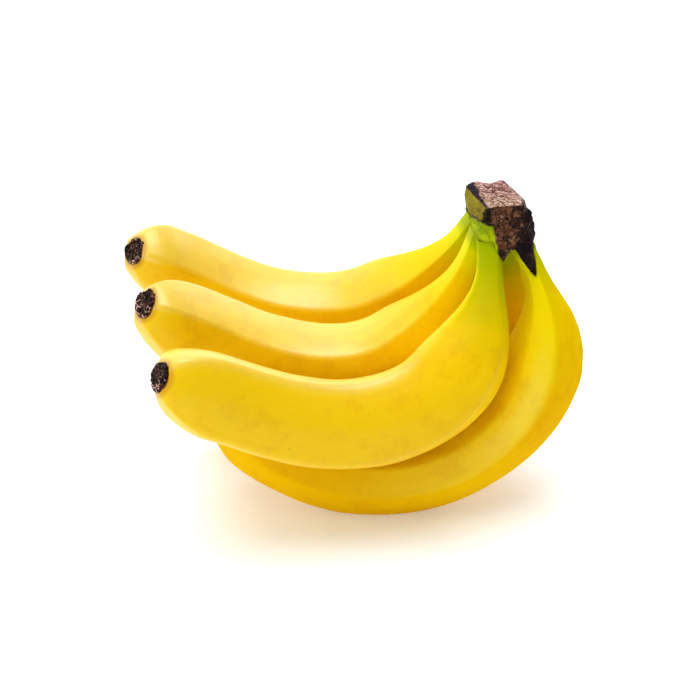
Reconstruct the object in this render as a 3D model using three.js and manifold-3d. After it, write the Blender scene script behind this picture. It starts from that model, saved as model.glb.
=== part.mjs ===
// A bunch of five ripe bananas, cut from the stalk as one hand.
// Three fruits fan out in the upper row and two longer ones curve beneath them. The bunch lies on the outer
// curves of the two lower fruits, with its crown in the air at the right and its blossom ends at the left.
// Millimetres. +X towards the crown, +Y away from the front of the bunch, +Z up.
// The origin is on the surface that the bunch lies on, under the middle of the bunch.
import * as THREE from "three";
import { ConvexGeometry } from "three/addons/geometries/ConvexGeometry.js";
import { mergeVertices } from "three/addons/utils/BufferGeometryUtils.js";
import Module from "manifold-3d";

const wasm = await Module();
wasm.setup();

// Driving sizes shared by all five fruits.
const NECK_RADIUS = 5.2; // the stalk of one fruit, next to the crown
const NECK_LENGTH = 10; // before it starts to swell into the fruit
const SWELL_LENGTH = 50; // from the neck to the full girth
const LATE_TAPER = 0.06; // share of the girth lost between the middle of the fruit and its rounded end
const END_LENGTH = 25; // the rounded blossom end
const END_RADIUS = 5; // the scar that the flower leaves
const END_RISE = 2.5; // the scar sits off the middle, towards the hollow side
const ROOTED = 5; // how far each neck runs up into the crown
const GAP = 0.3; // air between pieces that touch
const FLAT = 0.7; // depth of the flat spots that the bunch rests on

const SIDES_PER_FACET = 4;
const FACET_FLATNESS = 0.62; // 0 is a round fruit, 1 has flat sides and sharp ridges
const RING_STEP = 4.6; // along the fruit
const END_RINGS = 9;

// Each fruit's middle line starts at root, measured from the centre of the crown, and turns through the
// climb angles at its neck, shoulder, belly, far half and tip: -90 runs straight down, 0 level, 90 up.
// sway is how far it leans towards the front (+) or the back (-) at its neck, belly and tip, and tipTurn is
// how far the last part swings round on top of that.
// The peel has five long ridges, unevenly spaced as on any banana. Their angles go round the fruit from the
// middle of its hollow side, by way of the side that faces the back of the bunch.
const FRUITS = {
  back: {
    length: 182, radius: 17.6, root: [-9, 11.4, -6.8], ridges: [14, 90, 156, 222, 298],
    climb: [-64, -44.5, -5, 26, 32], sway: [-25, -10, 6], tipTurn: 31,
  },
  middle: {
    length: 177.2, radius: 18.1, root: [-7.3, 0, -7.8], ridges: [25, 101, 167, 233, 308],
    climb: [-73, -51, -2, 27, 35], sway: [4, 0, 6], tipTurn: 25,
  },
  front: {
    length: 185.6, radius: 19.5, root: [-4.5, -10.5, -5], ridges: [62, 125, 182, 238, 346],
    climb: [-95, -61, -8.6, 22, 28.5], sway: [32, 11, 6], tipTurn: 20,
  },
  lower_front: {
    length: 216, radius: 17.4, root: [6.5, -8.2, -6.5], ridges: [30, 118, 190, 262, 304],
    climb: [-130, -77, -27, 15, 50], sway: [11, 4, 0], tipTurn: 0,
  },
  lower_back: {
    length: 206, radius: 17.8, root: [3.8, 2.8, -12.5], ridges: [20, 95, 165, 235, 310],
    climb: [-108, -80, -17.6, -1, 31], sway: [-16, -6, 0], tipTurn: -12,
  },
};
const TIP_TURN_LENGTH = 45;

// Waxy peel, dried stalk and dried flower.
const LOOKS = {
  banana: { color: 0xf2c81e, roughness: 0.42, metalness: 0 },
  crown: { color: 0x4a3226, roughness: 0.85, metalness: 0 },
  blossom: { color: 0x2e211b, roughness: 0.9, metalness: 0 },
};

const degrees = THREE.MathUtils.degToRad;
const { lerp, smoothstep, clamp } = THREE.MathUtils;

// A smooth curve through evenly spaced values, read at share 0 to 1.
function through(values, share) {
  const last = values.length - 1;
  const place = clamp(share, 0, 1) * last;
  const i = Math.min(Math.floor(place), last - 1);
  const before = values[i - 1] ?? 2 * values[0] - values[1];
  const after = values[i + 2] ?? 2 * values[last] - values[last - 1];
  const t = place - i;
  const [a, b] = [values[i], values[i + 1]];
  return 0.5 * (2 * a + (b - before) * t + (2 * before - 5 * a + 4 * b - after) * t * t
    + (3 * a - before - 3 * b + after) * t * t * t);
}

// Which way the middle line runs at a share of its length, and which way its hollow side faces there.
function heading(fruit, share) {
  const climb = degrees(through(fruit.climb, share));
  const swing = smoothstep(share, 1 - TIP_TURN_LENGTH / fruit.length, 1) * fruit.tipTurn;
  const sway = degrees(through(fruit.sway, share) + swing);
  const along = new THREE.Vector3(
    -Math.cos(climb) * Math.cos(sway), -Math.sin(sway), Math.sin(climb) * Math.cos(sway));
  const side = along.clone().cross(new THREE.Vector3(Math.sin(climb), 0, Math.cos(climb))).normalize();
  return { along, side, hollow: side.clone().cross(along) };
}

// How far a place is into the rounded blossom end, 0 to 1.
function intoEnd(fruit, distance) {
  return clamp((distance - fruit.length + END_LENGTH) / END_LENGTH, 0, 1);
}

// Half the fruit's thickness, measured over its ridges.
function girth(fruit, distance) {
  const late = smoothstep(distance / fruit.length, 0.5, 0.85) * LATE_TAPER;
  const swell = smoothstep(distance, NECK_LENGTH, NECK_LENGTH + SWELL_LENGTH);
  const full = lerp(NECK_RADIUS, fruit.radius * (1 - late), swell);
  return lerp(END_RADIUS, full, (1 - intoEnd(fruit, distance) ** 2) ** 0.5);
}

// The corners of a ring: angle round the fruit, and distance from the middle line as a share of the girth.
function outline(fruit) {
  const { ridges } = fruit;
  return ridges.flatMap((ridge, i) => {
    const next = i + 1 < ridges.length ? ridges[i + 1] : ridges[0] + 360;
    const half = degrees((next - ridge) / 2);
    const flatness = FACET_FLATNESS * Math.min(1, 72 / (next - ridge)); // wide facets bulge more
    return Array.from({ length: SIDES_PER_FACET }, (_, k) => {
      const angle = degrees(lerp(ridge, next, k / SIDES_PER_FACET));
      const flat = Math.cos(half) / Math.cos(angle - degrees(ridge) - half);
      return { angle, reach: lerp(1, flat, flatness) };
    });
  });
}

// Distances of the rings from the root: even steps, then closer ones round the blossom end.
function ringDistances(fruit) {
  const straight = fruit.length - END_LENGTH + ROOTED;
  const steps = Math.round(straight / RING_STEP);
  const even = Array.from({ length: steps }, (_, i) => (i / steps) * straight - ROOTED);
  const round = Array.from({ length: END_RINGS + 1 },
    (_, i) => fruit.length - END_LENGTH + END_LENGTH * Math.sin((i / END_RINGS) * (Math.PI / 2)));
  return [...even, ...round];
}

// The points of the middle line at those distances, walking from the root along the heading.
function middleLine(fruit, distances) {
  const at = new THREE.Vector3(...fruit.root);
  const walk = (from, to) => {
    const { along } = heading(fruit, (from + to) / 2 / fruit.length);
    at.addScaledVector(along, to - from);
  };
  walk(0, distances[0]);
  return distances.map((distance, i) => {
    if (i > 0) {
      walk(distances[i - 1], distance);
    }
    const { hollow } = heading(fruit, distance / fruit.length);
    return at.clone().addScaledVector(hollow, END_RISE * intoEnd(fruit, distance) ** 2);
  });
}

// A closed skin over rings of corners, with a fan at each end.
function skin(rings) {
  const sides = rings[0].length;
  const corners = rings.flat();
  const faces = [];
  for (let r = 0; r + 1 < rings.length; r += 1) {
    for (let s = 0; s < sides; s += 1) {
      const [a, b] = [r * sides + s, r * sides + ((s + 1) % sides)];
      faces.push(a, b, b + sides, a, b + sides, a + sides);
    }
  }
  const middle = (ring) => ring.reduce((sum, p) => sum.add(p), new THREE.Vector3()).divideScalar(sides);
  const start = corners.push(middle(rings[0])) - 1;
  const end = corners.push(middle(rings.at(-1))) - 1;
  const lastRing = (rings.length - 1) * sides;
  for (let s = 0; s < sides; s += 1) {
    const next = (s + 1) % sides;
    faces.push(start, next, s, end, lastRing + s, lastRing + next);
  }
  const geometry = new THREE.BufferGeometry().setFromPoints(corners);
  geometry.setIndex(faces);
  return geometry;
}

function fruitGeometry(fruit) {
  const distances = ringDistances(fruit);
  const line = middleLine(fruit, distances);
  const corners = outline(fruit);
  return skin(distances.map((distance, i) => {
    const { hollow, side } = heading(fruit, distance / fruit.length);
    const size = girth(fruit, distance);
    return corners.map(({ angle, reach }) => line[i].clone()
      .addScaledVector(hollow, Math.cos(angle) * reach * size)
      .addScaledVector(side, Math.sin(angle) * reach * size));
  }));
}

// The dried remains of the flower on each tip: a short ragged cup with a knob in it.
const BLOSSOM_SIDES = 18;
// Distance from the tip and radius, from the skin of the fruit, over the rim and into the cup.
const BLOSSOM_PROFILE = [[0, 5], [0.4, 5.5], [0.9, 5.4], [1.3, 4.6], [1, 3.8], [0.5, 3], [0.5, 2], [1, 1]];
const RAGGED = 0.08; // share by which the rim wanders in and out

function blossomGeometry(fruit, seed) {
  const distances = ringDistances(fruit);
  const tip = middleLine(fruit, distances).at(-1);
  const { along, hollow, side } = heading(fruit, 1);
  return skin(BLOSSOM_PROFILE.map(([ahead, radius], ring) =>
    Array.from({ length: BLOSSOM_SIDES }, (_, i) => {
      const angle = (i / BLOSSOM_SIDES) * 2 * Math.PI;
      const wander = Math.sin(3 * angle + seed) + 0.8 * Math.sin(5 * angle + 2.3 * seed + ring);
      const size = radius * (1 + RAGGED * wander);
      return tip.clone().addScaledVector(along, ahead + GAP)
        .addScaledVector(hollow, Math.cos(angle) * size)
        .addScaledVector(side, Math.sin(angle) * size);
    })));
}

// The crown: a block of stalk tissue, level where the knife cut it, with a collar below that the necks grow
// out of and dried tongues of torn rind that hang down between and over the necks.
// Corners are measured from the centre of the crown.
const CROWN_BLOCK = [
  [-6.5, -14, 8.8], [8.2, -14, 10], [2.5, 12.5, 10.8], [-6.7, 13, 10.6], [-10.7, 12.6, 9.9], // the cut face
  [-12.8, 10, 9.2], [-13.5, 8.5, 6.5], [-12.5, 8, -1], [-8.5, -10, -0.5], // the green rind on the left
  [-4.5, -16, -2], [5, -16.5, -8], [12, -12, -8], [14.2, -7, -4.8], [12, -9, 4], // the dark front and right
  [8.3, 2, 8.4], [9.9, -5, 7],
  [10, 10, 2], [9, 12, -6], [-8, 13, -4], [-2, -3, -9], [10, 0, -12], [4, 9, -12],
];
const COLLAR = [
  [-9.5, -11.5, -1], [-2, -14.5, -2], [-8.4, -15.2, -3.6], [-3, -16.5, -4.6], [-8.6, -12, -6.3],
  [-2.5, -13.5, -7], [-11.5, 0, -2.5],
  [-10.5, 9, -3], [-6, 8, -10], [-6, -3, -11], [3, -6, -12], [2, 6, -15], [8, 4, -12],
];
const LEFT_TONGUE = [[-4.4, -16.5, -1], [-3.4, -17.8, -4.3], [-1.4, -18, -8.6], [1, -18, -11.6], [4.4, -17, -6.5],
  [-3, -12, -4], [4.5, -12, -7], [1.5, -13.5, -11]];
const RIGHT_TONGUE = [[4.8, -16.2, -6.5], [12.5, -13, -6], [6, -10, -6], [13, -8, -7], [8, -16.5, -12.2],
  [11, -17, -16.2], [14.5, -17.5, -19.5], [14, -14.5, -19]];
const BACK_TONGUE = [[-2, 12.6, -4], [8.6, 12, -5], [-1, 8, -5], [8, 7, -6], [6.5, 14, -16]];
const CROWN_PIECES = [CROWN_BLOCK, COLLAR, LEFT_TONGUE, RIGHT_TONGUE, BACK_TONGUE];

// A closed geometry as a solid that can be joined and cut.
function solidOf(geometry) {
  const bare = new THREE.BufferGeometry().setAttribute("position", geometry.getAttribute("position"));
  bare.setIndex(geometry.getIndex());
  const merged = mergeVertices(bare, 1e-3);
  return new wasm.Manifold(new wasm.Mesh({
    numProp: 3,
    vertProperties: merged.getAttribute("position").array,
    triVerts: new Uint32Array(merged.getIndex().array),
  }));
}

function geometryOf(solid) {
  const { vertProperties, triVerts } = solid.getMesh();
  const geometry = new THREE.BufferGeometry();
  geometry.setAttribute("position", new THREE.BufferAttribute(vertProperties, 3));
  geometry.setIndex(new THREE.BufferAttribute(triVerts, 1));
  return geometry;
}

// The convex block around some corners, with a margin of air on every side if asked.
function block(corners, margin) {
  const shifts = margin ? [-margin, margin] : [0];
  const points = corners.flatMap(([x, y, z]) => shifts.flatMap((i) => shifts.flatMap((j) =>
    shifts.map((k) => new THREE.Vector3(x + i, y + j, z + k)))));
  return solidOf(new ConvexGeometry(points));
}

function crownSolid(margin = 0) {
  return CROWN_PIECES.map((corners) => block(corners, margin)).reduce((whole, piece) => whole.add(piece));
}

// The largest body of a solid, without loose scraps.
function mainBody(solid) {
  return solid.decompose().reduce((best, body) => (body.volume() > best.volume() ? body : best));
}

const crownWithAir = crownSolid(GAP);
const solids = { crown: crownSolid() };
Object.entries(FRUITS).forEach(([name, fruit], i) => {
  solids[`banana_${name}`] = mainBody(solidOf(fruitGeometry(fruit)).subtract(crownWithAir));
  solids[`blossom_end_${name}`] = solidOf(blossomGeometry(fruit, i + 1));
});

// Everything below the rest level is cut away flat, which leaves a small flat spot under each lower fruit.
const lowest = Math.min(...Object.values(solids).map((solid) => solid.boundingBox().min[2]));
const restLevel = lowest + FLAT;
const ground = new THREE.BoxGeometry(600, 600, 60).translate(0, 0, restLevel - 30);
for (const name of Object.keys(solids)) {
  solids[name] = solids[name].subtract(solidOf(ground));
}

const bunch = new THREE.Group();
for (const [name, solid] of Object.entries(solids)) {
  const look = LOOKS[name.split("_")[0]];
  const mesh = new THREE.Mesh(geometryOf(solid), new THREE.MeshStandardMaterial(look));
  mesh.name = name;
  bunch.add(mesh);
}

// Stand the bunch on the origin, centred over it.
const extent = new THREE.Box3().setFromObject(bunch);
const centre = extent.getCenter(new THREE.Vector3());
bunch.position.set(-centre.x, -centre.y, -extent.min.z);

export default bunch;
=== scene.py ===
import math

import bpy
import numpy as np
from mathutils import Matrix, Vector, noise


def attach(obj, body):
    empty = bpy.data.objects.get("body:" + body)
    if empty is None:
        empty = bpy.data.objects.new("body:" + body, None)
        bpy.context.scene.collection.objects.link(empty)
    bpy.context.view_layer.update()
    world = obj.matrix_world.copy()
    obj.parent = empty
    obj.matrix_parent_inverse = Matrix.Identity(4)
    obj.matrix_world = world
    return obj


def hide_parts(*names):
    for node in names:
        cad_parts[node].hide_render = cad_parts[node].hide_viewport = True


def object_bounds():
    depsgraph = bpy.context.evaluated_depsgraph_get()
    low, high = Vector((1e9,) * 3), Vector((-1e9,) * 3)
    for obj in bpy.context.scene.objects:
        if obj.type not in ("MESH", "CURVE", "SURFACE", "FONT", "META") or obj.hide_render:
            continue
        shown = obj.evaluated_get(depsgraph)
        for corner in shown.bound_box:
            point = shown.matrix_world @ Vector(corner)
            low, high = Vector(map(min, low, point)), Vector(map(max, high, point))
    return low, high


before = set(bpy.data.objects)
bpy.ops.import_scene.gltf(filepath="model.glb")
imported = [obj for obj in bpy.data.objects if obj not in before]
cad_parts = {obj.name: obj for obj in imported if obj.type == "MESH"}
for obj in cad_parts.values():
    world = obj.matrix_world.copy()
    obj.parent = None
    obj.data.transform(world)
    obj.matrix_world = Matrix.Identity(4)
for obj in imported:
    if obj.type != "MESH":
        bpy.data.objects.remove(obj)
solid_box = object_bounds()


# The five bananas: three in the upper row and two longer ones beneath. Each is one fruit in its waxy peel,
# five-ridged, thin and green at the neck, blunt at the tip, and grown from the crown.
# The middle lines are in millimetres from the crown's centre, and their headings in degrees.
FRUITS = {
    "back": dict(length=182, root=(-9, 11.4, -6.8), ridges=(14, 90, 156, 222, 298),
                 climb=(-64, -44.5, -5, 26, 32), sway=(-25, -10, 6), tip_turn=31),
    "middle": dict(length=177.2, root=(-7.3, 0, -7.8), ridges=(25, 101, 167, 233, 308),
                   climb=(-73, -51, -2, 27, 35), sway=(4, 0, 6), tip_turn=25),
    "front": dict(length=185.6, root=(-4.5, -10.5, -5), ridges=(62, 125, 182, 238, 346),
                  climb=(-95, -61, -8.6, 22, 28.5), sway=(32, 11, 6), tip_turn=20),
    "lower_front": dict(length=216, root=(6.5, -8.2, -6.5), ridges=(30, 118, 190, 262, 304),
                        climb=(-130, -77, -27, 15, 50), sway=(11, 4, 0), tip_turn=0),
    "lower_back": dict(length=206, root=(3.8, 2.8, -12.5), ridges=(20, 95, 165, 235, 310),
                       climb=(-108, -80, -17.6, -1, 31), sway=(-16, -6, 0), tip_turn=-12),
}
CROWN_CENTRE = Vector((0.06093, 0.00561, 0.12090))


def alone(piece):
    bpy.ops.object.select_all(action="DESELECT")
    piece.select_set(True)
    bpy.context.view_layer.objects.active = piece


def copy_of(node, name):
    """A merged copy of a solid's mesh, as a piece that stands for it."""
    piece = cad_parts[node].copy()
    piece.data = piece.data.copy()
    piece.name = name
    piece.parent = None
    bpy.context.scene.collection.objects.link(piece)
    piece.hide_render = piece.hide_viewport = False
    piece.data.materials.clear()
    alone(piece)
    bpy.ops.object.mode_set(mode="EDIT")
    bpy.ops.mesh.select_all(action="SELECT")
    bpy.ops.mesh.remove_doubles(threshold=0.00002)
    bpy.ops.object.mode_set(mode="OBJECT")
    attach(piece, "root")
    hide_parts(node)
    return piece


def finish_with(piece, kind, **settings):
    modifier = piece.modifiers.new(kind.lower(), kind)
    for key, value in settings.items():
        setattr(modifier, key, value)
    alone(piece)
    bpy.ops.object.modifier_apply(modifier=modifier.name)


def lumps(name, size, depth=2):
    texture = bpy.data.textures.new(name, "CLOUDS")
    texture.noise_scale = size
    texture.noise_depth = depth
    return texture


def through(values, share):
    last = len(values) - 1
    place = min(max(share, 0), 1) * last
    i = min(int(place), last - 1)
    t = place - i
    before = values[i - 1] if i else 2 * values[0] - values[1]
    after = values[i + 2] if i + 2 <= last else 2 * values[-1] - values[-2]
    a, b = values[i], values[i + 1]
    return 0.5 * (2 * a + (b - before) * t + (2 * before - 5 * a + 4 * b - after) * t * t
                  + (3 * a - before - 3 * b + after) * t ** 3)


def smooth(t):
    t = min(max(t, 0), 1)
    return t * t * (3 - 2 * t)


def middle_line(grown):
    """Points a millimetre apart from neck to tip, and the directions to the hollow side and across."""
    at = CROWN_CENTRE + Vector(grown["root"]) / 1000
    points, hollows, sides = [], [], []
    length = grown["length"]
    for step in range(int(length) + 1):
        share = step / length
        climb = math.radians(through(grown["climb"], share))
        swing = smooth((share - 1) * length / 45 + 1) * grown["tip_turn"]
        sway = math.radians(through(grown["sway"], share) + swing)
        along = Vector((-math.cos(climb) * math.cos(sway), -math.sin(sway), math.sin(climb) * math.cos(sway)))
        side = along.cross(Vector((math.sin(climb), 0, math.cos(climb)))).normalized()
        points.append(at.copy())
        hollows.append(side.cross(along))
        sides.append(side)
        at += along / 1000
    return np.array(points), np.array(hollows), np.array(sides)


def coordinates(mesh):
    flat = np.empty(len(mesh.vertices) * 3)
    mesh.vertices.foreach_get("co", flat)
    return flat.reshape(-1, 3)


def note(mesh, name, values):
    attribute = mesh.attributes.new(name, "FLOAT_VECTOR", "POINT")
    attribute.data.foreach_set("vector", np.stack(values, 1).ravel())


def tree_of(material):
    material.use_nodes = True
    tree = material.node_tree
    return tree, tree.nodes["Principled BSDF"]


def add(tree, kind, inputs=(), **settings):
    made = tree.nodes.new("ShaderNode" + kind)
    for key, value in settings.items():
        setattr(made, key, value)
    for key, value in dict(inputs).items():
        if isinstance(value, bpy.types.NodeSocket):
            tree.links.new(value, made.inputs[key])
        else:
            made.inputs[key].default_value = value
    return made


def parts_of(tree, name):
    noted = add(tree, "Attribute", attribute_name=name).outputs["Vector"]
    return add(tree, "SeparateXYZ", {0: noted}).outputs


def blend(tree, share, below, above):
    return add(tree, "Mix", {0: share, 6: below, 7: above}, data_type="RGBA").outputs[2]


def between(tree, value, low, high, start=0.0, end=1.0):
    inputs = {0: value, 1: low, 2: high, 3: start, 4: end}
    return add(tree, "MapRange", inputs, interpolation_type="SMOOTHSTEP").outputs[0]


def maths(tree, operation, first, second=0.0):
    return add(tree, "Math", {0: first, 1: second}, operation=operation).outputs[0]


def cloud(tree, vector, scale, detail=3.0, rough=0.55):
    inputs = {"Vector": vector, "Scale": scale, "Detail": detail, "Roughness": rough}
    return add(tree, "TexNoise", inputs).outputs[0]


def colour(*seen):
    """A colour given as it looks, 0 to 255."""
    return tuple(c / 255 / 12.92 if c <= 10 else ((c / 255 + 0.055) / 1.055) ** 2.4 for c in seen) + (1.0,)


peel = bpy.data.materials.new("ripe waxy peel")
tree, skin = tree_of(peel)
from_tip, on_ridge, lit_side = parts_of(tree, "lay")
greener, olive, golden = parts_of(tree, "ripeness_and_painted_shade")
painted_highlight_mask, waxy, hollow = parts_of(tree, "surface")
grain = add(tree, "Attribute", attribute_name="grain").outputs["Vector"]
place = add(tree, "TexCoord").outputs["Object"]
broad = cloud(tree, place, 30.0, 2.0)
mottled = cloud(tree, place, 85.0, 6.0, 0.7)
fine = cloud(tree, place, 300.0, 4.0)
# Long faint streaks run with the fruit.
stretched = add(tree, "Mapping", {"Vector": grain, "Scale": (20.0, 380.0, 380.0)}).outputs[0]
streaks = cloud(tree, stretched, 1.0, 4.0, 0.6)
# Painted light: each fruit's lit side is painted a lighter yellow than its shaded side.
ripe_with_painted_light = blend(tree, lit_side, colour(245, 200, 0), colour(249, 211, 4))
ripe_with_painted_light = blend(tree, between(tree, broad, 0.35, 0.7, 0.0, 0.6), ripe_with_painted_light, colour(247, 203, 0))
ripe_with_painted_light = blend(tree, between(tree, streaks, 0.45, 0.75, 0.0, 0.16), ripe_with_painted_light, colour(226, 166, 2))
ripe_with_painted_light = blend(tree, between(tree, fine, 0.5, 0.75, 0.0, 0.14), ripe_with_painted_light, colour(250, 208, 30))
ripe_with_painted_light = blend(tree, between(tree, mottled, 0.48, 0.64, 0.0, 0.3), ripe_with_painted_light, colour(226, 166, 6))
# Painted shade: a deeper orange below the neck on the shaded side, strongest on the two lower fruits.
ripe_with_painted_light = blend(tree, golden, ripe_with_painted_light, colour(226, 152, 0))
# Painted highlight: a pale cream band down one facet of the lower front fruit.
ripe_with_painted_light = blend(tree, painted_highlight_mask, ripe_with_painted_light, colour(255, 234, 96))
# The neck is still green, and more so next to the crown. A trace of green is left at the tip.
wander = maths(tree, "MULTIPLY", maths(tree, "SUBTRACT", broad, 0.5), 0.03)
from_neck = maths(tree, "ADD", greener, wander)
# Painted shade: the neck's green is a darker olive on its shaded side, and all round on the lower back fruit.
green = blend(tree, olive, colour(230, 230, 0), colour(160, 162, 0))
# Painted light: a lighter lemon band just below the green neck, on the lit side only.
painted_light_ring = maths(tree, "MULTIPLY", between(tree, from_neck, 0.076, 0.03), lit_side)
ripe_with_painted_light = blend(tree, painted_light_ring, ripe_with_painted_light, colour(246, 218, 0))
ripe_with_painted_light = blend(tree, between(tree, from_neck, 0.036, 0.004), ripe_with_painted_light, green)
ripe_with_painted_light = blend(tree, between(tree, from_neck, 0.010, 0.0, 0.0, 0.7), ripe_with_painted_light, colour(140, 168, 0))
ripe_with_painted_light = blend(tree, between(tree, from_tip, 0.022, 0.006, 0.0, 0.2), ripe_with_painted_light, colour(238, 204, 4))
# Ridges are rubbed a little browner. Small brown specks are thinly scattered.
rubbed = maths(tree, "MULTIPLY", on_ridge, between(tree, streaks, 0.4, 0.7, 0.0, 0.06))
ripe_with_painted_light = blend(tree, rubbed, ripe_with_painted_light, colour(200, 146, 20))
dots = add(tree, "TexVoronoi", {"Vector": place, "Scale": 95.0, "Randomness": 1.0})
chosen = between(tree, add(tree, "SeparateColor", {0: dots.outputs["Color"]}).outputs[0], 0.86, 0.9)
speck = maths(tree, "MULTIPLY", chosen, between(tree, dots.outputs["Distance"], 0.055, 0.02, 0.0, 0.45))
ripe_with_painted_light = blend(tree, speck, ripe_with_painted_light, colour(140, 88, 16))
# The peel is brown and dry in a thin line round the dried flower.
ripe_with_painted_light = blend(tree, between(tree, from_tip, 0.0086, 0.0068, 0.0, 0.5), ripe_with_painted_light, colour(196, 120, 12))
frayed = maths(tree, "ADD", from_tip, maths(tree, "MULTIPLY", fine, 0.0016))
ripe_with_painted_light = blend(tree, between(tree, frayed, 0.0070, 0.0063), ripe_with_painted_light, colour(94, 54, 24))
tree.links.new(ripe_with_painted_light, skin.inputs["Base Color"])
# The wax shines most on the hollow side, less underneath and least between the two.
skin.inputs["Specular IOR Level"].default_value = 0.0
underneath = maths(tree, "MULTIPLY", waxy, between(tree, hollow, -0.007, -0.011, 0.0, 0.5))
waxed = maths(tree, "ADD", between(tree, lit_side, 0.0, 1.0, 0.14, 1.0), underneath)
waxed = maths(tree, "MULTIPLY", waxed, waxy)
tree.links.new(waxed, skin.inputs["Coat Weight"])
tree.links.new(between(tree, fine, 0.3, 0.8, 0.36, 0.44), skin.inputs["Coat Roughness"])
skin.inputs["Coat IOR"].default_value = 1.9
skin.inputs["Subsurface Weight"].default_value = 0.06
skin.inputs["Subsurface Radius"].default_value = (0.006, 0.003, 0.0006)
relief = maths(tree, "ADD", maths(tree, "MULTIPLY", streaks, 0.7), maths(tree, "MULTIPLY", fine, 0.5))
bump = add(tree, "Bump", {"Height": relief, "Strength": 0.1, "Distance": 0.0004})
tree.links.new(bump.outputs[0], skin.inputs["Normal"])


def hump(alongs, start, end):
    return np.sin(np.pi * np.clip((alongs - start) / (end - start), 0, 1)) ** 2


# Where the fruits are fuller or leaner than their facets, in millimetres: start and end along the fruit,
# and how much on its outer side and on its hollow side.
FULLNESS = {
    "back": [(160, 186, 0.2, 1.3), (132, 179, 1.8, 0)],
    "middle": [(135, 190, 0.3, -1.0), (127, 175, 2.6, 0)],
    "front": [(160, 200, -1.6, -0.2)],
    "lower_front": [(0, 40, -1.5, 0), (100, 206, 1.5, 0)],
    "lower_back": [(170, 205, 1.0, 1.0)],
}
# How far the green reaches down each neck; how far painted shade turns the green olive on the shaded side;
# how far painted shade turns the fruit a deeper orange on the shaded side below the neck; how strong a
# painted pale highlight is laid down one facet;
# and how waxy the fruit is. Then the angle round the fruit where its lit hollow side begins, painted a
# lighter yellow as painted light, and the degrees over which it fades in.
RIPENESS_AND_PAINTED_LIGHT = {
    "back": dict(reach=0.75, olive=0.35, golden=0.0, bloom=0.0, wax=1.0, bright_from=-66, fade=9),
    "middle": dict(reach=0.52, olive=0.1, golden=0.0, bloom=0.0, wax=1.0, bright_from=-56, fade=9),
    "front": dict(reach=1.0, olive=0.8, golden=0.05, bloom=0.0, wax=1.0, bright_from=-28, fade=16),
    "lower_front": dict(reach=0.85, olive=0.6, golden=0.45, bloom=0.3, wax=0.15, bright_from=-102, fade=9),
    "lower_back": dict(reach=0.8, olive=1.0, golden=0.9, bloom=0.0, wax=0.4, bright_from=56, fade=9),
}
CREASED_ABOVE = 26, 62
RIDGE_WIDTH = 7
HALF_THICKNESS = 0.017
TIP_RISE = 0.0025
lowest, highest = np.array(solid_box[0]), np.array(solid_box[1])
uneven = lumps("uneven peel", 0.022)
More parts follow.
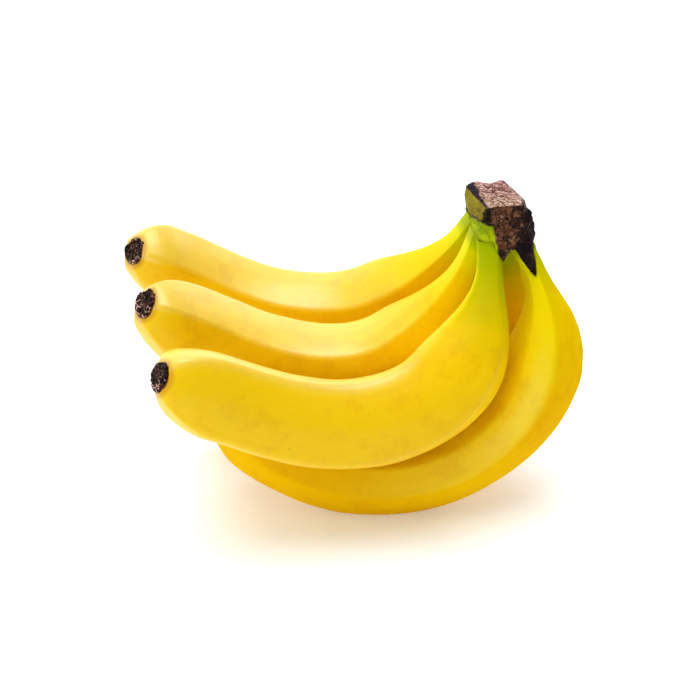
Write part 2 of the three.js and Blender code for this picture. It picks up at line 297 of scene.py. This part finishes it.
for name, grown in FRUITS.items():
    fruit = copy_of("banana_" + name, "fruit_" + name)
    bpy.ops.object.mode_set(mode="EDIT")
    bpy.ops.mesh.tris_convert_to_quads(face_threshold=0.8, shape_threshold=0.8)
    bpy.ops.mesh.select_mode(type="EDGE")
    for bend in CREASED_ABOVE:
        bpy.ops.mesh.select_all(action="DESELECT")
        bpy.ops.mesh.edges_select_sharp(sharpness=math.radians(bend))
        bpy.ops.transform.edge_crease(value=0.5)
    bpy.ops.object.mode_set(mode="OBJECT")
    finish_with(fruit, "SUBSURF", levels=2, render_levels=2)
    finish_with(fruit, "DISPLACE", texture=uneven, texture_coords="LOCAL", strength=0.0007, mid_level=0.5)
    spots = coordinates(fruit.data)
    points, hollows, sides = middle_line(grown)
    nearest = np.array([((points - spot) ** 2).sum(1).argmin() for spot in spots])
    out = spots - points[nearest]
    up, across = (out * hollows[nearest]).sum(1), (out * sides[nearest]).sum(1)
    turn = np.degrees(np.arctan2(across, up))
    off = np.min([np.abs((turn - ridge + 180) % 360 - 180) for ridge in grown["ridges"]], axis=0)
    around = (np.sqrt(up ** 2 + across ** 2) + 1e-6) / HALF_THICKNESS
    alongs = nearest / 1000
    swell = 0.5 * np.clip((nearest - 20) / 30, 0, 1)
    for start, end, outer, inner in FULLNESS[name]:
        fuller = np.where(up < 0, outer, inner) * np.abs(np.cos(np.radians(turn)))
        swell += hump(nearest, start, end) * fuller
    spots += np.array([v.normal for v in fruit.data.vertices]) * swell[:, None] / 1000
    spots = np.clip(spots, lowest, highest)
    fruit.data.vertices.foreach_set("co", spots.ravel())
    tip = points[-1] + (points[-1] - points[-2]) * (grown["length"] % 1) + hollows[-1] * TIP_RISE
    ripe_with_painted_light = RIPENESS_AND_PAINTED_LIGHT[name]
    # The lit side of each fruit, set by the angle round it: the peel there is painted lighter as painted
    # light, and the shaded side takes painted shade.
    lit_side = np.clip((turn - ripe_with_painted_light["bright_from"]) / ripe_with_painted_light["fade"], 0, 1) * np.clip((105 - turn) / 20, 0, 1)
    if name.startswith("lower"):
        lit_side = lit_side * np.clip((170 - nearest) / 60, 0, 1)
    # Painted shade: how much deeper orange the shaded side takes below the neck.
    golden = ripe_with_painted_light["golden"] * np.clip((nearest - 40) / 30, 0, 1) * np.clip((130 - nearest) / 50, 0.6, 1)
    # Partly painted shade: the green reaches further down on the shaded side of each neck.
    greener = alongs / (ripe_with_painted_light["reach"] * (1.4 - 0.4 * lit_side))
    # Painted highlight: a pale band down the facet at about -80 degrees round the fruit.
    bloom = ripe_with_painted_light["bloom"] * np.sqrt(hump(nearest, 26, 110)) * np.exp(-((turn + 80) / 13) ** 4)
    wax = ripe_with_painted_light["wax"] * (0.15 + 0.85 * np.clip((nearest - 30) / 60, 0, 1))
    from_tip = np.sqrt(((spots - tip) ** 2).sum(1))
    note(fruit.data, "lay", (from_tip, np.exp(-(off / RIDGE_WIDTH) ** 2), lit_side))
    note(fruit.data, "ripeness_and_painted_shade", (greener, ripe_with_painted_light["olive"] * (1 - lit_side), golden * (1 - lit_side)))
    note(fruit.data, "surface", (bloom, wax, up / around))
    note(fruit.data, "grain", (alongs, up / around, across / around))
    fruit.data.materials.append(peel)
    alone(fruit)
    bpy.ops.object.shade_smooth()


# The blossom ends: what is left of the flower on each tip, a shallow ragged cup of dried dark fibres with
# paler strands. It dried on where it grew, so it sits flush on the scar.
dried = bpy.data.materials.new("dried flower fibres")
tree, skin = tree_of(dried)
place = add(tree, "TexCoord").outputs["Object"]
coarse = cloud(tree, place, 240.0, 5.0, 0.65)
warped = add(tree, "Mapping", {"Vector": place, "Scale": (600.0, 300.0, 300.0)}).outputs[0]
fibres = cloud(tree, warped, 1.0, 4.0, 0.75)
cells = add(tree, "TexVoronoi", {"Vector": place, "Scale": 420.0}, feature="DISTANCE_TO_EDGE").outputs[0]
stranded = between(tree, coarse, 0.52, 0.6, 0.06, 0.95)
strands = maths(tree, "MULTIPLY", between(tree, cells, 0.09, 0.02), stranded)
look = blend(tree, between(tree, coarse, 0.42, 0.6), colour(12, 7, 8), colour(50, 27, 20))
look = blend(tree, between(tree, fibres, 0.56, 0.66, 0.0, 0.7), look, colour(150, 88, 56))
look = blend(tree, strands, look, colour(236, 190, 168))
tree.links.new(look, skin.inputs["Base Color"])
skin.inputs["Roughness"].default_value = 0.8
skin.inputs["Specular IOR Level"].default_value = 0.1
bump = add(tree, "Bump", {"Height": fibres, "Strength": 0.7, "Distance": 0.0005})
tree.links.new(bump.outputs[0], skin.inputs["Normal"])

shrivelled = lumps("shrivelled flower", 0.0016, 3)
for name, grown in FRUITS.items():
    end = copy_of("blossom_end_" + name, "dried_flower_" + name)
    # Each is drawn a little wider, and its base back onto the skin of the fruit.
    points = middle_line(grown)[0]
    ahead = (points[-1] - points[-2]) * 1000
    spots = coordinates(end.data)
    off = spots - spots.mean(0)
    depth = (off * ahead).sum(1)
    spots += (off - ahead * depth[:, None]) * 0.03
    spots -= ahead * np.where(depth < depth.min() + 0.0003, 0.0024, 0)[:, None]
    end.data.vertices.foreach_set("co", spots.ravel())
    finish_with(end, "REMESH", mode="VOXEL", voxel_size=0.00028, adaptivity=0.0)
    finish_with(end, "DISPLACE", texture=shrivelled, texture_coords="LOCAL", strength=0.0016, mid_level=0.5)
    spots = np.clip(coordinates(end.data), lowest, highest)
    end.data.vertices.foreach_set("co", spots.ravel())
    end.data.materials.append(dried)
    alone(end)
    bpy.ops.object.shade_smooth()


# The crown: the block of stalk that all the fruits grow from. A knife cut it level, and the cut has dried to
# pinkish fibres. Its front and right are torn dark rind with hanging tongues, its left is green rind.
stalk = bpy.data.materials.new("cut and torn stalk")
tree, skin = tree_of(stalk)
on_rind, on_cut, on_collar = parts_of(tree, "sort")
black, band, low_rind = parts_of(tree, "dark")
pinker, pitted, border = parts_of(tree, "drying")
place = add(tree, "TexCoord").outputs["Object"]
mottle = cloud(tree, place, 210.0, 5.0, 0.7)
grit = cloud(tree, place, 620.0, 4.0, 0.7)
pits = cloud(tree, place, 1100.0, 3.0, 0.7)
slanted = {"Vector": place, "Rotation": (0.0, 0.0, -0.87), "Scale": (0.0024, 0.0007, 0.0007)}
slanted = add(tree, "Mapping", slanted, vector_type="TEXTURE").outputs[0]
threads = cloud(tree, slanted, 1.0, 3.0, 0.6)
blotches = cloud(tree, place, 110.0, 3.0, 0.6)
torn = blend(tree, between(tree, mottle, 0.4, 0.6), colour(36, 18, 15), colour(124, 76, 52))
torn = blend(tree, between(tree, grit, 0.53, 0.65, 0.0, 0.7), torn, colour(182, 138, 98))
torn = blend(tree, between(tree, blotches, 0.5, 0.42, 0.0, 0.8), torn, colour(26, 14, 13))
torn = blend(tree, between(tree, pits, 0.5, 0.6, 0.0, 0.8), torn, colour(18, 10, 9))
sooty = maths(tree, "MULTIPLY", black, between(tree, grit, 0.3, 0.62, 1.0, 0.8))
torn = blend(tree, sooty, torn, colour(16, 10, 12))
rind = blend(tree, between(tree, mottle, 0.4, 0.65), colour(146, 134, 26), colour(126, 112, 14))
dotted = between(tree, low_rind, 0.0, 1.0, 0.15, 0.8)
dotted = maths(tree, "MULTIPLY", between(tree, pits, 0.48, 0.58), dotted)
rind = blend(tree, dotted, rind, colour(74, 56, 18))
rind = blend(tree, border, rind, colour(70, 58, 40))
green = blend(tree, between(tree, mottle, 0.35, 0.65), colour(122, 144, 0), colour(174, 188, 2))
flesh = blend(tree, pinker, colour(212, 182, 154), colour(196, 144, 138))
cut = blend(tree, between(tree, threads, 0.4, 0.58), colour(104, 56, 48), flesh)
cut = blend(tree, between(tree, grit, 0.55, 0.66, 0.0, 0.85), cut, colour(248, 222, 204))
cut = blend(tree, maths(tree, "MULTIPLY", between(tree, pits, 0.5, 0.6), pitted), cut, colour(74, 36, 32))
cut = blend(tree, maths(tree, "MULTIPLY", between(tree, grit, 0.5, 0.42), pitted), cut, colour(92, 44, 38))
cut = blend(tree, band, cut, colour(38, 26, 34))
look = blend(tree, on_rind, torn, rind)
look = blend(tree, on_cut, look, cut)
look = blend(tree, on_collar, look, green)
tree.links.new(look, skin.inputs["Base Color"])
tree.links.new(between(tree, mottle, 0.3, 0.7, 0.6, 0.85), skin.inputs["Roughness"])
skin.inputs["Specular IOR Level"].default_value = 0.08
height = maths(tree, "ADD", maths(tree, "MULTIPLY", grit, 0.6), maths(tree, "MULTIPLY", threads, 0.4))
bump = add(tree, "Bump", {"Height": height, "Distance": 0.0006})
smoother = maths(tree, "ADD", on_collar, on_rind)
tree.links.new(between(tree, smoother, 0.0, 1.0, 0.7, 0.15), bump.inputs["Strength"])
tree.links.new(bump.outputs[0], skin.inputs["Normal"])


def rise(values, low, high):
    return np.clip((values - low) / (high - low), 0, 1)


crown = copy_of("crown", "crown_of_stalk")
finish_with(crown, "REMESH", mode="VOXEL", voxel_size=0.0004, adaptivity=0.0)
finish_with(crown, "SMOOTH", factor=0.5, iterations=2)
spots = coordinates(crown.data)
facing = np.array([v.normal for v in crown.data.vertices])
x, y, z = ((spots - np.array(CROWN_CENTRE)) * 1000).T
edge = np.array([noise.noise(Vector(p) * 420) + 0.5 * noise.noise(Vector(p) * 1100) for p in spots])
on_top = rise(z + edge, 6.2, 7.0) * rise(facing[:, 2] + edge * 0.15, 0.5, 0.66)
inside = x + 6.5 + 0.2625 * (y + 14)
left_band = rise(np.interp(y, (-14, 0, 12), (0.6, 2.4, 4.2)) - inside + edge * 0.9, -0.25, 0.25)
right_band = rise(x - np.interp(y, (-14, -5, 2, 12.5), (8.2, 9.9, 8.3, 2.5)) + 0.7 + edge * 0.5, -0.2, 0.3)
on_band = on_top * np.maximum(left_band, right_band)
# The green collar of the necks reaches up to a slanting line under the rind, and to the left torn tongue.
level = 0.906 * z + 0.423 * np.minimum(y, 2)
collar_line = np.interp(x, (-12.4, -7.4, -3.2), (1.0, -3.8, -5.5))
under = rise(collar_line - level + edge * 0.6, -0.2, 0.4)
collar = under * rise(-3.2 - z * 0.24 - x + edge * 0.5, -0.3, 0.3)
collar = np.maximum(collar, rise(-facing[:, 2], 0.3, 0.6) * (y > -12)) * (1 - on_top)
rind_side = rise(y + 13.8 - (8.8 - z) * 0.37 + edge * 0.8, -0.4, 0.3) * rise(-x - 2 + edge, -0.5, 0.5)
rind_side = rind_side * (1 - on_top) * (1 - collar)
rind_edge = rise(1.1 - np.abs(level - collar_line) + edge * 0.5, 0, 0.6)
blackened = np.maximum(rise(x + edge * 1.6, 7.0, 9.2), rise(-x + edge * 1.2, 3.4, 5.2))
blackened = np.maximum(blackened, rise(x - z * 0.5 + edge * 2, 7.5, 9.0))
note(crown.data, "sort", (rind_side, on_top, collar))
note(crown.data, "dark", (blackened, on_band, rise(-level + edge * 2, -4.5, -1)))
middle = np.exp(-((x + 2) / 5) ** 2 - ((y - 1) / 7) ** 2)
note(crown.data, "drying", (rise(y + x * 0.5, -10, 6), 0.35 + 0.65 * middle, rind_edge))
# The far edge of the cut dips, with a spike of rind at its right.
spots[:, 2] -= 0.0009 * rise(y, 8, 12) * rise(z, 6, 9) * np.clip(1 - ((x + 3.2) / 4.2) ** 2, 0, 1)
# The left tongue ends in a sharp point.
spots[:, 2] += 0.00035 * np.minimum(z + 7, 0) * (x < 5) * (y < -13)
crown.data.vertices.foreach_set("co", spots.ravel())
rough = (1 - on_top) * (1 - rind_side) * (1 - collar) * rise(z, -13, -6)
for group, share in (("torn", rough + 0.45 * on_top), ("collar", collar)):
    made = crown.vertex_groups.new(name=group)
    for i in np.nonzero(share > 0.02)[0]:
        made.add([int(i)], float(share[i]), "REPLACE")
for name, size, depth, strength, mid_level, group in (
        ("torn stalk", 0.0045, 3, 0.0024, 0.45, "torn"), ("torn fibres", 0.0014, 2, 0.0009, 0.5, "torn"),
        ("knobbly collar", 0.005, 1, 0.002, 0.3, "collar")):
    finish_with(crown, "DISPLACE", texture=lumps(name, size, depth), texture_coords="LOCAL",
                strength=strength, mid_level=mid_level, vertex_group=group)
finish_with(crown, "SMOOTH", factor=0.5, iterations=10, vertex_group="collar")
spots = coordinates(crown.data)
spots[:, 2] = np.minimum(spots[:, 2], highest[2])
crown.data.vertices.foreach_set("co", spots.ravel())
crown.data.materials.append(stalk)
alone(crown)
bpy.ops.object.shade_smooth()


# The studio: a plain white table in soft even light, with a bright white wall at the back, a large softbox
# overhead and a weak one at the left. The table top is opal, lit softly from below.
FLOOR_SIZE = 6
CAMERA_CLIMB = math.radians(25)
CAMERA_DISTANCE = 0.691
bpy.ops.object.select_all(action="DESELECT")
bpy.ops.mesh.primitive_plane_add(size=FLOOR_SIZE, location=(0, 0, -0.0002))
table = bpy.context.object
table.name = "white_table"
laminate = bpy.data.materials.new("white laminate")
tree, skin = tree_of(laminate)
shade = cloud(tree, add(tree, "TexCoord").outputs["Object"], 3.0, 2.0)
tree.links.new(blend(tree, shade, (0.85, 0.91, 0.97, 1), (0.87, 0.93, 0.99, 1)), skin.inputs["Base Color"])
skin.inputs["Roughness"].default_value = 0.7
skin.inputs["Emission Color"].default_value = (0.92, 0.87, 0.79, 1)
skin.inputs["Emission Strength"].default_value = 0.26
table.data.materials.append(laminate)

world = bpy.data.worlds.new("white room")
world.use_nodes = True
tree = world.node_tree
backdrop = tree.nodes["Background"]
backdrop.inputs[0].default_value = (1.0, 1.0, 1.0, 1)
towards = add(tree, "SeparateXYZ", {0: add(tree, "TexCoord").outputs["Generated"]}).outputs
tree.links.new(between(tree, towards[1], 0.1, 0.8, 0.34, 1.7), backdrop.inputs[1])
bpy.context.scene.world = world
for name, energy, width, towards in (
        ("softbox overhead", 1.95, 50, (-0.1, -0.06, 1)), ("softbox at the left", 0.6, 60, (-1, -0.35, 0.5))):
    lamp = bpy.data.lights.new(name, "SUN")
    lamp.energy, lamp.angle = energy, math.radians(width)
    holder = bpy.data.objects.new(name, lamp)
    holder.rotation_euler = Vector(towards).to_track_quat("Z", "Y").to_euler()
    bpy.context.scene.collection.objects.link(holder)
bpy.context.scene.view_settings.view_transform = "Standard"

lens = bpy.data.cameras.new("portrait lens")
lens.lens, lens.sensor_width, lens.clip_start = 85, 36, 0.01
camera = bpy.data.objects.new("camera", lens)
back = Vector((0, -math.cos(CAMERA_CLIMB), math.sin(CAMERA_CLIMB)))
camera.location = CROWN_CENTRE - Vector((0.0598, 0, 0.0596)) + back * CAMERA_DISTANCE
camera.rotation_euler = back.to_track_quat("Z", "Y").to_euler()
bpy.context.scene.collection.objects.link(camera)
bpy.context.scene.camera = camera
